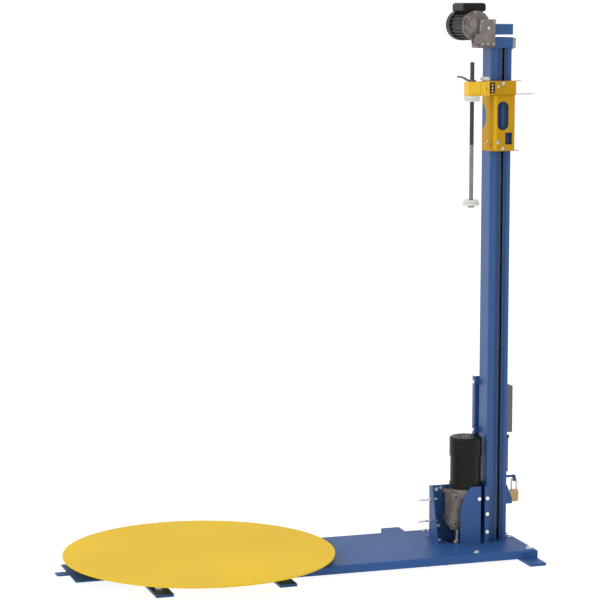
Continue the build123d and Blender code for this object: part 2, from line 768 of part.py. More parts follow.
def guide_roller(x, y, z):
    """Carriage roller on the mast's face."""
    wheel = rod_x(-guide_width / 2, guide_width / 2, 0, 0, guide_radius)
    wheel -= rod_x(-guide_width, guide_width, 0, 0, guide_axle + running_gap)
    return Pos(x, y, z) * chamfer(wheel.edges(), 0.6)


def mandrel_arm():
    """Box arm that carries the film mandrel, with the split clamp block beside it."""
    x0, x1 = mandrel_x - arm_width / 2, mandrel_x + arm_width / 2
    y0, y1 = mandrel_y - arm_depth / 2, mandrel_y + arm_depth / 2
    z0, z1 = arm_bottom, carriage_top
    arm = soften(block(x0, x1, y0, y1, z0, z1), 5, Axis.Z)
    arm -= block(x0 + 5, x1 - 5, y0 + 5, y1 - 5, z0 + 5, z1 - 5)
    arm += block(x1 - 1, x1 + 30, y0 + 6, y1 + 4, z0 + 3, z1 - 3)
    clamp = block(x1 + 9, clamp_right, y0 + 14, carriage_front - 4, z0, z1)
    clamp -= rod_y((x1 + 9 + clamp_right) / 2, y0 + 10, y0 + 30, z0 + 32, 8)
    arm += clamp
    arm += rod_z(mandrel_x, mandrel_y, z0, z1, mandrel_radius + 6)
    return arm - rod_z(mandrel_x, mandrel_y, z0 - 5, z1 + 5, mandrel_radius)


def mandrel_bar():
    """Upper, dark part of the film mandrel, clamped in the arm."""
    bar = rod_z(mandrel_x, mandrel_y, mandrel_joint, mandrel_top, mandrel_radius)
    return chamfer(bar.edges().sort_by(Axis.Z)[-1:], 1)


def mandrel_tube():
    """Lower, bright part of the mandrel with the nut that holds the lower plug."""
    bar = rod_z(mandrel_x, mandrel_y, mandrel_bottom, mandrel_joint, mandrel_radius)
    nut = extrude(RegularPolygon(14, 6, major_radius=False), lower_plug_z - mandrel_bottom - 1)
    return bar + Pos(mandrel_x, mandrel_y, mandrel_bottom) * nut


def film_plug(z, wide_up):
    """Stepped plastic plug that fits the film core, free to turn on the mandrel."""
    step = plug_height * 0.45
    wide = (z + plug_height - step, z + plug_height) if wide_up else (z, z + step)
    plug = rod_z(mandrel_x, mandrel_y, z, z + plug_height, plug_radius - 3)
    plug += rod_z(mandrel_x, mandrel_y, *wide, plug_radius + 0.8)
    plug = fillet(plug.edges().filter_by(GeomType.CIRCLE).group_by(Axis.Z)[0], 1.2)
    return plug - rod_z(mandrel_x, mandrel_y, z - 5, z + 50, mandrel_radius + running_gap)


def brake_lever():
    """Curved hand lever that turns on the mandrel above the arm."""
    z = carriage_top + contact_gap
    ring = rod_z(mandrel_x, mandrel_y, z, z + 9, 17)
    path = Curve() + [
        Line((-14, 5), (-28, 9)),
        ThreePointArc((-28, 9), (-46, 19), (-70, 23)),
    ]
    blade = Plane.XZ * trace(path, 8)
    lever = ring + Pos(mandrel_x, mandrel_y + 9, z) * extrude(blade, 18)
    return lever - rod_z(mandrel_x, mandrel_y, z - 5, z + 30, mandrel_radius + running_gap)


def clamp_knob():
    """White hand knob above the clamp block, with its screw in the block."""
    z = carriage_top + contact_gap
    knob = fillet(rod_z(knob_x, knob_y, z + 4, z + 20, 21).edges(), 3)
    return knob + rod_z(knob_x, knob_y, z, z + 5, 12)


# ---------------------------------------------------------------- controls
def control_panel():
    """Mounting panel behind the mast, held off it by two rounded standoff straps."""
    t = panel_sheet
    panel = block(panel_left, panel_right, panel_y, panel_y + t, panel_bottom, panel_top)
    panel += block(panel_left, panel_left + t, panel_y, panel_y + 30, panel_bottom, panel_top)
    for z in strap_levels:
        top = z + strap_height
        strap = block(strap_left, strap_right, mast_rear, panel_y + 0.5, z, top)
        strap -= block(strap_left + 4, strap_right - 4, mast_rear + 4, panel_y - 4, z - 5, top + 5)
        panel += strap
    return panel


def control_cabinet():
    """Sheet cabinet, open at the back where its door closes it."""
    wall = 2.0
    x0, x1 = cabinet_left, cabinet_right
    box = soften(block(x0, x1, cabinet_front, cabinet_rear, cabinet_bottom, cabinet_top),
                 3, Axis.Y)
    box -= block(x0 + wall, x1 - wall, cabinet_front + wall, cabinet_rear + 5,
                 cabinet_bottom + wall, cabinet_top - wall)
    for z in hinge_levels:
        box += rod_z(hinge_x, hinge_y, z - 18, z + 20, hinge_pin)
        box += rod_z(hinge_x, hinge_y, z - 18, z, 6)
        box += block(x1 - 1, hinge_x + 6, cabinet_rear - 24, cabinet_rear, z - 18, z)
        box += block(hinge_x - 3, hinge_x + 6, cabinet_rear - 1, hinge_y, z - 18, z)
    return box


def control_door():
    """Cabinet door with the holes for its switches."""
    x0, x1 = cabinet_left, cabinet_right
    door = block(x0, x1, door_y, door_y + door_thick, cabinet_bottom, cabinet_top)
    door = fillet(door.edges().filter_by(Axis.Y), 4)
    door -= block(x0 + 2, x1 - 2, door_y - 5, door_y + door_thick - 3, cabinet_bottom + 2,
                  cabinet_top - 2)
    for x, z, _, _ in door_buttons.values():
        door -= rod_y(x, door_y - 5, door_y + door_thick + 5, z, stem_radius + running_gap)
    for z in hinge_levels:
        door += block(x1 - 1.5, hinge_x, hinge_y - 3, hinge_y + 3, z + 1, z + 20)
        door += rod_z(hinge_x, hinge_y, z + 1, z + 20, 6)
        door -= rod_z(hinge_x, hinge_y, z - 5, z + 25, hinge_pin + running_gap)
    return door


def door_control(x, z, radius, height, kind):
    """One operating part on the door: cap outside, stem through the door."""
    face = door_y + door_thick
    gap = 6.0
    stem = rod_y(x, face - 14, face + gap + 1, z, stem_radius)
    if kind == "power_switch":
        cap = rod_y(x, face + 1, face + 8, z, radius)
        cap += soften(block(x - 6, x + 6, face + 7, face + height, z - radius, z + radius),
                      3, Axis.Y)
        return stem + cap
    cap = rod_y(x, face + gap, face + gap + height, z, radius)
    return stem + fillet(cap.edges().sort_by(Axis.Y)[-1:], 3)


def lower_box():
    """Small junction box under the cabinet, with the cable glands between the two."""
    x0, x1 = lower_box_left, lower_box_right
    pieces = [
        soften(block(x0, x1, cabinet_front, cabinet_front + lower_box_depth, panel_bottom,
                     lower_box_top), 3, Axis.Y)
    ]
    gland_y = cabinet_front + 34
    for x in (x0 + 30, x1 - 14):
        pieces.append(rod_z(x, gland_y, lower_box_top, cabinet_bottom, 9))
        gland = extrude(RegularPolygon(12, 6, major_radius=False), 12)
        pieces.append(Pos(x, gland_y, panel_bottom - 12) * gland)
    return pieces


# ---------------------------------------------------------------- lockable hasp
def lock_bracket():
    """Angle bracket on the mast's side with a hasp eye for the padlock."""
    z0 = padlock_bottom - 4
    eye_top = shackle_top + 16
    plate = block(mast_right, mast_right + 5, -28, 28, z0, eye_top)
    face = make_face(Polyline(
        (mast_right, z0), (mast_right + hasp_reach, z0), (mast_right + hasp_reach, z0 + 24),
        (mast_right + 12, shackle_top - 24), (mast_right, shackle_top - 24), close=True,
    ))
    shelf = Pos(0, -28, 0) * extrude(Plane.XZ * face, -4)
    arm = block(mast_right, hasp_x + 3, -5, 5, shackle_top + 8, eye_top)
    eye = block(hasp_x - 3, hasp_x + 3, -14, 14, shackle_top - 14, eye_top)
    eye = fillet(eye.edges().filter_by(Axis.X).sort_by(Axis.Z)[:2], 9)
    return plate + shelf + arm + eye - rod_x(hasp_x - 10, hasp_x + 10, 0, shackle_top, 7)


def padlock_body():
    x = padlock_width / 2
    y = padlock_thick / 2
    body = block(hasp_x - x, hasp_x + x, -y, y, padlock_bottom, padlock_top)
    body = fillet(body.edges().filter_by(Axis.Y), 8)
    for side in (-shackle_half, shackle_half):
        body -= rod_z(hasp_x + side, 0, shackle_foot, padlock_top + 5, shackle_radius)
    return body


def padlock_shackle():
    r = shackle_half
    low = shackle_foot
    bend = shackle_top - r
    path = Curve() + [
        Line((-r, low), (-r, bend)),
        ThreePointArc((-r, bend), (0, shackle_top), (r, bend)),
        Line((r, bend), (r, low)),
    ]
    wire = Wire((Plane(origin=(hasp_x, 0, 0), x_dir=(1, 0, 0), z_dir=(0, -1, 0)) * path).edges())
    section = Plane(origin=wire @ 0, z_dir=wire % 0) * Circle(shackle_radius)
    shackle = sweep(section, wire)
    return shackle


# ---------------------------------------------------------------- write every sub-part
def main():
    save("base_cover", base_cover())
    save("turntable_subframe", turntable_subframe())
    for side, x in feet_x.items():
        save(f"{side}_foot_bar", foot_bar(x))
    save("pivot_foot_plate", pivot_foot_plate())
    save("chain_pan", chain_pan())
    save("crossmember", crossmember())
    save("pivot_spindle", pivot_spindle())
    save("roller_brackets", [roller_bracket(x, y) for x, y in roller_places.values()])
    for place, (x, y) in roller_places.items():
        save(f"{place}_roller", support_roller(x, y))
    save("frame_bolts", frame_bolts())

    save("turntable_disc", turntable_disc())
    save("turntable_rim", turntable_rim())
    save("turntable_hub", turntable_hub())

    save("drive_chain", drive_chain())
    save("drive_sprocket", drive_sprocket())
    save("turntable_gearbox", turntable_gearbox())
    save("turntable_motor", turntable_motor())
    save("turntable_motor_cowl", turntable_motor_cowl())
    save("drive_bracket", drive_bracket())
    save("front_gusset", front_gusset())
    save("bracket_studs", bracket_studs())

    save("mast_tube", mast_tube())
    save("head_box", head_box())
    save("head_bearing", head_bearing())
    save("lift_shaft", lift_shaft())
    save("idler_sprocket", idler_sprocket())
    save("idler_axle", idler_axle())
    save("lift_chain", lift_chain())
    save("lift_gearbox", lift_gearbox())
    save("lift_motor", lift_motor())
    save("lift_capacitor_box", lift_capacitor_box())

    save("carriage_frame", carriage_frame())
    save("chain_tongue", chain_tongue())
    for level, z in guide_levels.items():
        save(f"{level}_front_guide", guide_roller(guide_front_x, guide_front_y, z))
        save(f"{level}_rear_guide", guide_roller(guide_rear_x, guide_rear_y, z))
    save("mandrel_arm", mandrel_arm())
    save("mandrel_bar", mandrel_bar())
    save("mandrel_tube", mandrel_tube())
    save("upper_plug", film_plug(arm_bottom - plug_height - contact_gap, True))
    save("lower_plug", film_plug(lower_plug_z, False))
    save("brake_lever", brake_lever())
    save("clamp_knob", clamp_knob())

    save("control_panel", control_panel())
    save("control_cabinet", control_cabinet())
    save("control_door", control_door())
    for name, (x, z, radius, height) in door_buttons.items():
        save(name, door_control(x, z, radius, height, name))
    save("lower_box", lower_box())

    save("lock_bracket", lock_bracket())
    save("padlock_body", padlock_body())
    save("padlock_shackle", padlock_shackle())


main()
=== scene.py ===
"""Turntable pallet wrapper: finishes, small fittings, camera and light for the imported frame."""
import json
import math
import random

import bmesh
import bpy
from mathutils import Euler, Matrix, Vector


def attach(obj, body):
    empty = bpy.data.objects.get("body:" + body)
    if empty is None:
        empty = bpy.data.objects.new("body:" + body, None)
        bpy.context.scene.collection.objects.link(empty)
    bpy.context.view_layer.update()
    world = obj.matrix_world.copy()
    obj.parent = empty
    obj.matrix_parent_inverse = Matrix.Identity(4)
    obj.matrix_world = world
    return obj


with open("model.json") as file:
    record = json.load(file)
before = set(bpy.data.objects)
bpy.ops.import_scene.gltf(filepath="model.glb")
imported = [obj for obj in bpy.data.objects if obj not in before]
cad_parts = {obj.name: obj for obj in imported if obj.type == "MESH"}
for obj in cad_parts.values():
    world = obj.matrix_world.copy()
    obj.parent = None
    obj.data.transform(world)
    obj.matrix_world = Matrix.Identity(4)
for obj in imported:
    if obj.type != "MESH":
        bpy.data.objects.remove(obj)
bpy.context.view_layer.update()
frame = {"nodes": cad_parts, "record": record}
nodes = frame["nodes"]

# ---------------------------------------------------------------- camera and light
CAMERA_PLACE = (-2.601, -9.521, 2.562)
CAMERA_YAW = 0.3125      # from +Y towards +X
CAMERA_PITCH = 0.1340    # below the horizon
CAMERA_LENS = 135.25
SENSOR_WIDTH = 36.0
CAMERA_REACH = 600.0

# name: place, aim, diameter, power
SOFTBOXES = {
    "left_softbox": ((-7.0, -2.5, 4.5), (0.9, 0, 1.0), 4.5, 240),
    "top_softbox": ((-0.5, -2.5, 7.5), (0.5, 0, 0.4), 5.0, 90),
}
WORLD_STRENGTH = 1.0
WHITE = (1, 1, 1)
FLOOR_GREY = (0.22, 0.22, 0.22)
FLOOR_GLOW = 0.92        # keeps the floor near white under a faint contact shadow
FLOOR_REACH = 160.0
FLOOR_DROP = 0.0006      # clear of the feet


def camera():
    data = bpy.data.cameras.new("camera")
    data.lens = CAMERA_LENS
    data.sensor_width = SENSOR_WIDTH
    data.clip_end = CAMERA_REACH
    eye = bpy.data.objects.new("camera", data)
    eye.location = CAMERA_PLACE
    eye.rotation_euler = (math.pi / 2 - CAMERA_PITCH, 0, -CAMERA_YAW)
    bpy.context.scene.collection.objects.link(eye)
    bpy.context.scene.camera = eye


def soft_light(name, place, aim, diameter, power):
    data = bpy.data.lights.new(name, "AREA")
    data.shape = "DISK"
    data.size = diameter
    data.energy = power
    lamp = bpy.data.objects.new(name, data)
    lamp.location = place
    lamp.rotation_euler = (Vector(aim) - Vector(place)).to_track_quat("-Z", "Y").to_euler()
    bpy.context.scene.collection.objects.link(lamp)


def studio():
    """White surroundings, one broad light from the left, one from above, and the floor."""
    world = bpy.data.worlds.new("studio")
    world.use_nodes = True
    background = world.node_tree.nodes["Background"]
    background.inputs["Color"].default_value = (*WHITE, 1)
    background.inputs["Strength"].default_value = WORLD_STRENGTH
    bpy.context.scene.world = world
    for name, setting in SOFTBOXES.items():
        soft_light(name, *setting)
    bpy.context.scene.view_settings.view_transform = "Standard"

    sheet = bmesh.new()
    bmesh.ops.create_grid(sheet, x_segments=1, y_segments=1, size=FLOOR_REACH)
    bmesh.ops.translate(sheet, verts=sheet.verts, vec=(0, 0, -FLOOR_DROP))
    floor = new_object("floor", sheet)
    floor.data.materials.append(floor_finish())


# ---------------------------------------------------------------- mesh helpers
def new_object(name, mesh):
    """Turns a bmesh into an object at the origin, and frees it."""
    bmesh.ops.recalc_face_normals(mesh, faces=mesh.faces)
    data = bpy.data.meshes.new(name)
    mesh.to_mesh(data)
    mesh.free()
    thing = bpy.data.objects.new(name, data)
    bpy.context.scene.collection.objects.link(thing)
    return thing


# ---------------------------------------------------------------- shader maths
class Value:
    """A socket, with the arithmetic that the finishes use."""

    def __init__(self, tree, socket):
        self.tree = tree
        self.socket = socket

    def math(self, operation, *others, clamp=False):
        node = self.tree.nodes.new("ShaderNodeMath")
        node.operation = operation
        node.use_clamp = clamp
        for place, value in enumerate((self, *others)):
            plug(self.tree, node.inputs[place], value)
        return Value(self.tree, node.outputs[0])

    def __add__(self, other):
        return self.math("ADD", other)

    def __radd__(self, other):
        return self.math("ADD", other)

    def __sub__(self, other):
        return self.math("SUBTRACT", other)

    def __rsub__(self, other):
        return (self * -1).math("ADD", other)

    def __mul__(self, other):
        return self.math("MULTIPLY", other)

    def __rmul__(self, other):
        return self.math("MULTIPLY", other)

    def between(self, low, high):
        """0 below low, 1 above high."""
        return ((self - low) * (1 / (high - low))).math("ADD", 0.0, clamp=True)


def plug(tree, socket, value):
    if isinstance(value, Value):
        tree.links.new(value.socket, socket)
    elif isinstance(value, bpy.types.NodeSocket):
        tree.links.new(value, socket)
    elif value is not None:
        socket.default_value = value


class Finish:
    """One material under construction."""

    def __init__(self, name):
        self.material = bpy.data.materials.new(name)
        self.material.use_nodes = True
        self.tree = self.material.node_tree
        self.shader = self.tree.nodes["Principled BSDF"]
        self.place = self.node("ShaderNodeTexCoord").outputs["Object"]

    def node(self, kind, settings=None, **sockets):
        made = self.tree.nodes.new(kind)
        for key, value in (settings or {}).items():
            setattr(made, key, value)
        for key, value in sockets.items():
            plug(self.tree, made.inputs[key.replace("_", " ")], value)
        return made

    def noise(self, scale, detail=2.0, roughness=0.5, vector=None):
        made = self.node("ShaderNodeTexNoise", Scale=scale, Detail=detail, Roughness=roughness,
                         Vector=vector or self.place)
        return Value(self.tree, made.outputs["Fac"])

    def spots(self, scale):
        made = self.node("ShaderNodeTexVoronoi", Scale=scale, Vector=self.place)
        return Value(self.tree, made.outputs["Distance"])

    def stretched(self, x, y, z):
        made = self.node("ShaderNodeMapping", Scale=(x, y, z), Vector=self.place)
        return made.outputs["Vector"]

    def axis(self, name):
        made = self.node("ShaderNodeSeparateXYZ", Vector=self.place)
        return Value(self.tree, made.outputs[name])

    def mix(self, factor, first, second):
        made = self.node("ShaderNodeMix", {"data_type": "RGBA"})
        plug(self.tree, made.inputs["Factor"], factor)
        for name, value in (("A", first), ("B", second)):
            socket = [s for s in made.inputs if s.name == name and s.type == "RGBA"][0]
            plug(self.tree, socket, (*value, 1) if isinstance(value, tuple) else value)
        return [s for s in made.outputs if s.type == "RGBA"][0]

    def bump(self, height, depth, below=None):
        made = self.node("ShaderNodeBump", Height=height, Distance=depth)
        if below is not None:
            self.tree.links.new(below, made.inputs["Normal"])
        return made.outputs["Normal"]

    def set(self, **sockets):
        for key, value in sockets.items():
            if isinstance(value, tuple) and len(value) == 3:
                value = (*value, 1)
            plug(self.tree, self.shader.inputs[key.replace("_", " ")], value)
        return self.material


# ---------------------------------------------------------------- finishes
# Depths and the limits of the band of painted shade beside the mast's slot are in metres.
PEEL_DEPTH = 0.00012
SHEET_WAVE = 0.0004
DUST = (0.55, 0.53, 0.5)
SLOT_SHADE_FADE = 0.012
SLOT_SHADE_FACE = (-0.049, -0.046)      # y range over which the front face ends
DRAWN_LINES = (1, 1, 40)
DRAWN_DEPTH = 0.00004
MOULD_DEPTH = 0.00006
LINK_DEPTH = 0.002


def tint(colour, by):
    return tuple(min(1.0, c * by) for c in colour)


def floor_finish():
    f = Finish("studio_floor")
    return f.set(Base_Color=FLOOR_GREY, Roughness=0.9, Specular_IOR_Level=0.0,
                 Emission_Color=WHITE, Emission_Strength=FLOOR_GLOW)


def powder_coat(name, colour, roughness=0.38, dust=0.04, wear=0.0, gloss=0.4, slot_shade=None):
    """Powder coat: fine orange peel, slow drift of tone, a little dust, faint scuffs.

    The last argument is the x range of a dark band of painted shade beside the mast's slot, on
    the face towards -Y.
    """
    f = Finish(name)
    drift = f.noise(1.7, detail=3).between(0.3, 0.7)
    toned = f.mix(drift, tint(colour, 0.94), tint(colour, 1.05))
    speck = f.noise(55, detail=6, roughness=0.7).between(0.56, 0.74)
    dust_and_shade = f.mix(speck * dust, toned, DUST)
    if wear:
        scuff = f.noise(9, detail=8, roughness=0.75, vector=f.stretched(1, 5, 1))
        marks = scuff.between(0.62, 0.72) * f.noise(2.3).between(0.45, 0.7)
        dust_and_shade = f.mix(marks * wear, dust_and_shade, tint(colour, 0.72))
    # Painted shade: darkens a streaky band of the front face beside the mast's slot.
    if slot_shade:
        low, high = slot_shade
        across = f.axis("X")
        band = across.between(low - SLOT_SHADE_FADE, low) * (1 - across.between(high, high + SLOT_SHADE_FADE))
        front = 1 - f.axis("Y").between(*SLOT_SHADE_FACE)
        streaks = f.noise(12, detail=5, vector=f.stretched(6, 6, 0.25)) * 0.5 + 0.55
        dust_and_shade = f.mix(band * front * streaks, dust_and_shade, tint(colour, 0.34))
    peel_height = f.noise(620, detail=2)
    slow = f.noise(14, detail=2)
    normal = f.bump(slow, SHEET_WAVE, f.bump(peel_height, PEEL_DEPTH))
    rough = f.noise(6, detail=4) * 0.12 + (roughness - 0.06)
    return f.set(Base_Color=dust_and_shade, Roughness=rough, Normal=normal, Specular_IOR_Level=gloss)


def casting(name, colour, roughness=0.55, grain=0.0009, metallic=0.35):
    """Painted or bare casting: sand grain, tone patches and darker pits."""
    f = Finish(name)
    patch = f.noise(22, detail=5, roughness=0.6).between(0.35, 0.65)
    warm = (min(1.0, colour[0] * 0.78), colour[1] * 0.68, colour[2] * 0.62)
    toned = f.mix(patch, warm, tint(colour, 1.3))
    pits = f.spots(420).between(0.0, 0.5)
    coloured = f.mix(pits, tint(colour, 0.8), toned)
    sand = f.noise(380, detail=5, roughness=0.65)
    lumps = f.noise(45, detail=3)
    normal = f.bump(lumps, grain * 1.4, f.bump(sand, grain * 0.5))
    rough = f.noise(30, detail=3) * 0.2 + (roughness - 0.1)
    return f.set(Base_Color=coloured, Roughness=rough, Normal=normal, Metallic=metallic)


def metal(name, colour, roughness=0.3):
    """Machined or plated steel with fine drawn lines and faint tarnish."""
    f = Finish(name)
    stain = f.noise(22, detail=4, roughness=0.6).between(0.35, 0.75)
    coloured = f.mix(stain, colour, tint(colour, 0.82))
    drawn = f.noise(160, detail=3, vector=f.stretched(*DRAWN_LINES))
    rough = f.noise(60, detail=3) * 0.18 + (roughness - 0.09)
    return f.set(Base_Color=coloured, Roughness=rough, Metallic=1.0,
                 Normal=f.bump(drawn, DRAWN_DEPTH))


def plastic(name, colour, roughness=0.4):
    """Moulded plastic with a fine eroded texture."""
    f = Finish(name)
    drift = f.noise(30, detail=3).between(0.3, 0.7)
    coloured = f.mix(drift, tint(colour, 0.95), tint(colour, 1.04))
    texture = f.noise(900, detail=2)
    rough = f.noise(80, detail=2) * 0.1 + (roughness - 0.05)
    return f.set(Base_Color=coloured, Roughness=rough, Normal=f.bump(texture, MOULD_DEPTH))


def roller_chain(name):
    """Oiled chain steel with the relief of its plates and rollers."""
    f = Finish(name)
    oil = f.noise(140, detail=4).between(0.35, 0.7)
    coloured = f.mix(oil, (0.05, 0.048, 0.045), (0.16, 0.155, 0.15))
    links = f.spots(160)
    return f.set(Base_Color=coloured, Roughness=0.42, Metallic=0.85,
                 Normal=f.bump(links, LINK_DEPTH))


# x range of the band of painted shade beside the mast's slot
SLOT_SHADE_BAND = (1.404, 1.442)        # x range beside the mast's slot
BLUE = (0.019, 0.069, 0.212)
# The platform, carriage and arm yellows are one paint in three copies; they differ by painted
# light and shade, the carriage's darker yellow painting shade.
YELLOW = (0.64, 0.415, 0.008)
CARRIAGE_SHADED_YELLOW = (0.42, 0.222, 0.002)

# finish of each slot of the frame
FINISHES = {
    "base_blue": lambda n: powder_coat(n, BLUE, wear=0.35, roughness=0.48, gloss=0.2),
    "frame_blue": lambda n: powder_coat(n, BLUE, gloss=0.32),
    "mast_blue": lambda n: powder_coat(n, BLUE, gloss=0.32, slot_shade=SLOT_SHADE_BAND),
    "platform_yellow": lambda n: powder_coat(n, YELLOW, roughness=0.55, wear=0.12, dust=0.02,
                                             gloss=0.15),
    # darker copy of the yellow: painted shade on the carriage
    "carriage_yellow": lambda n: powder_coat(n, CARRIAGE_SHADED_YELLOW, roughness=0.45, gloss=0.12),
    "arm_yellow": lambda n: powder_coat(n, (0.66, 0.40, 0.02), roughness=0.42, gloss=0.2),
    # black rim under the turntable: painted shade for the gap between the disc and the plate
    # below
    "rim_black": lambda n: powder_coat(n, (0.010, 0.010, 0.010), roughness=0.5, gloss=0.2),
    "zinc_steel": lambda n: metal(n, (0.93, 0.93, 0.91), roughness=0.3),
    "machined_steel": lambda n: metal(n, (0.56, 0.56, 0.55), roughness=0.28),
    "chain_steel": roller_chain,
    "motor_black": lambda n: powder_coat(n, (0.006, 0.0055, 0.005), roughness=0.34, dust=0.012,
                                         gloss=0.16),
    "drive_casting": lambda n: casting(n, (0.125, 0.118, 0.112), metallic=0.1),
    "lift_casting": lambda n: casting(n, (0.165, 0.148, 0.140), metallic=0.45, roughness=0.4),
    "bearing_grey": lambda n: casting(n, (0.33, 0.35, 0.29), grain=0.0005),
    "roller_steel": lambda n: metal(n, (0.62, 0.62, 0.62), roughness=0.25),
    "mandrel_dark": lambda n: metal(n, (0.060, 0.060, 0.060), roughness=0.42),
    "mandrel_bright": lambda n: metal(n, (0.22, 0.21, 0.21), roughness=0.36),
    "lever_steel": lambda n: metal(n, (0.12, 0.12, 0.12), roughness=0.35),
    "plug_white": lambda n: plastic(n, (0.52, 0.505, 0.475)),
    "cabinet_grey": lambda n: powder_coat(n, (0.150, 0.137, 0.158), roughness=0.42, gloss=0.25),
    "button_green": lambda n: plastic(n, (0.02, 0.33, 0.07), roughness=0.25),
    "button_black": lambda n: plastic(n, (0.02, 0.02, 0.02), roughness=0.3),
    "button_red": lambda n: plastic(n, (0.55, 0.012, 0.01), roughness=0.22),
    "padlock_brass": lambda n: metal(n, (0.44, 0.29, 0.13), roughness=0.34),
}

# finishes that only the fittings have
EXTRA_FINISHES = {
    # dark brown sheet: painted shade at the back of the clamp pocket
    "pocket_shade": lambda n: powder_coat(n, (0.060, 0.022, 0.004), gloss=0.1),
    # lighter copy of the carriage yellow: a painted highlight along the sleeve's rib
    "rib_highlight_yellow": lambda n: powder_coat(n, (0.60, 0.33, 0.006), gloss=0.15),
    "plate_grey": lambda n: metal(n, (0.42, 0.42, 0.41), roughness=0.4),
}


def dress_cad_nodes():
    """Gives every frame node the finish of its slot, and returns the finishes by slot."""
    made = {slot: build(slot) for slot, build in FINISHES.items()}
    for part in frame["record"]["subparts"]:
        thing = nodes[part["node"]]
        thing.data.materials.clear()
        thing.data.materials.append(made[part["material_slot"]])
    return made


# ---------------------------------------------------------------- small fittings
# Places and sizes are in millimetres.
HEX = 6                          # sides of a hexagon head
WASHER = (14.5, 5.6, 1.8)        # outer radius, hole radius, thickness
BASE_BOLTS = ((1505, -229), (1505, 229), (1505, 12), (1248, -224), (1248, 224), (1171, 50),
              (1175, 238))
BASE_WASHER_Z = 50.9
FOOT_BOLTS = tuple((x, y) for x in (-232, 335) for y in (-258, 258))
FOOT_WASHER_Z = 13.6

FRAME_WELD = 2.6                 # bead radius
FRAME_WELDS = (
    # side bracket and drive mount on the base
    ((1134, -18, 51), (1134, 84, 51)), ((1142, -18, 51), (1142, 76, 51)),
    # gusset, lug plate and mast on the base
    ((1226, -85, 51), (1325, -85, 51)), ((1367, -51, 51), (1417, -51, 51)),
    ((1436, -51, 51), (1466, -51, 51)), ((1468, -49, 51), (1468, 49, 51)),
    ((1367, 51.5, 51), (1466, 51.5, 51)), ((1359, 84.5, 57), (1137, 84.5, 57)),
    # hasp bracket on the mast
    ((1467.6, -28.5, 222), (1467.6, -28.5, 304)),
    # head box on the mast
    ((1368, -51.2, 2330.5), (1400, -51.2, 2330.5)),
    ((1448, -51.2, 2330.5), (1466, -51.2, 2330.5)),
    # lug plate, and the hasp's arm
    ((1347, -84.5, 51), (1365, -84.5, 51)), ((1365.2, -50, 70), (1365.2, -50, 318)),
    ((1472.6, -5, 339), (1520, -5, 339)),
)

BAND_FACE = -80.4                # front of the carriage's top band
SLEEVE_FACE = -76.4              # front of the sleeve below it
CARRIAGE_SCREWS = ((1387, BAND_FACE, 2158), (1413, BAND_FACE, 2171), (1389, SLEEVE_FACE, 1905),
                   (1414, SLEEVE_FACE, 1877))
POCKET_SCREWS = tuple((1359, -83, z) for z in (2137, 2151, 2165))
SIDE_SCREWS = ((1356.2, -44, 1911), (1356.2, -20, 1899), (1356.2, -30, 2150))
# a dark sheet painted where the clamp pocket lies in shade
CLAMP_POCKET_SHADE = ((1346.5, -80.9, 2128.5), (1372, -80.1, 2176))
# a raised strip whose lighter yellow is a painted highlight
SLEEVE_RIB = ((1369, -77.2, 1870), (1387, -75.5, 2116))
STOPS = ((1509, 2179.5), (1565, 2120), (1501, 1865))     # right end, lower edge
BAND_SEAM = ((1382, -80.6, 2119.5), (1472, -80.6, 2119.5))
SEAM_WELD = 1.8

LIFT_FLANGE = (1288.5, -62.5, 2432)
LIFT_FLANGE_BOLT_CIRCLE = 59
LIFT_FLANGE_TURNS = (100, 142, 186, 228, 262)
LIFT_COVER_SCREWS = tuple((x, -101.6, z) for x, z in (
    (1300, 2349), (1356, 2349), (1356, 2449), (1300, 2449), (1328, 2349)))
LIFT_OIL_PLUG = (1331, -101.5, 2420)

DRIVE_FLANGE = (1281, 0, 266)
DRIVE_FLANGE_BOLT_CIRCLE = 66
DRIVE_FLANGE_SCREWS = 8
DRIVE_FLANGE_LEAD = 20           # degrees from +X to the first screw
DRIVE_SIDE_COVER = (1262, -61.5, 176)

GLANDS = (((1538, 118, 506), 16), ((1524, 118, 330), 29))     # place, length
PANEL_SCREWS = tuple((x, 78.6, z) for x in (1368, 1489) for z in (357, 796))
STRAP_BOLT_LEVELS = (560, 786)
DOOR_PLATE = ((1440, 192.2, 548), (1505, 193.2, 566))

TURNS = {"x": (0, math.pi / 2, 0), "y": (math.pi / 2, 0, 0), "z": (0, 0, 0)}


def mm(*values):
    """A vector in metres from millimetres."""
    return Vector(values) / 1000


def disc(mesh, centre, axis, radius, length, segments=32, turn=0.0, taper=1.0):
    """A cylinder or prism about an axis, its size and place in millimetres."""
    spin = Matrix.Rotation(turn, 4, "Z")
    stand = Euler(TURNS[axis]).to_matrix().to_4x4()
    bmesh.ops.create_cone(
        mesh, cap_ends=True, segments=segments, radius1=radius / 1000,
        radius2=radius * taper / 1000, depth=length / 1000,
        matrix=Matrix.Translation(mm(*centre)) @ stand @ spin)


def ring(mesh, centre, axis, outer, inner, length, segments=36):
    """A flat washer in millimetres."""
    stand = Matrix.Translation(mm(*centre)) @ Euler(TURNS[axis]).to_matrix().to_4x4()
    rows = []
    for radius, height in ((outer, -1), (outer, 1), (inner, 1), (inner, -1)):
        rows.append([
            mesh.verts.new(stand @ (mm(radius * math.cos(a), radius * math.sin(a),
                                       height * length / 2)))
            for a in (2 * math.pi * k / segments for k in range(segments))
        ])
    for row in range(4):
        first, second = rows[row], rows[(row + 1) % 4]
        for k in range(segments):
            after = (k + 1) % segments
            mesh.faces.new((first[k], first[after], second[after], second[k]))


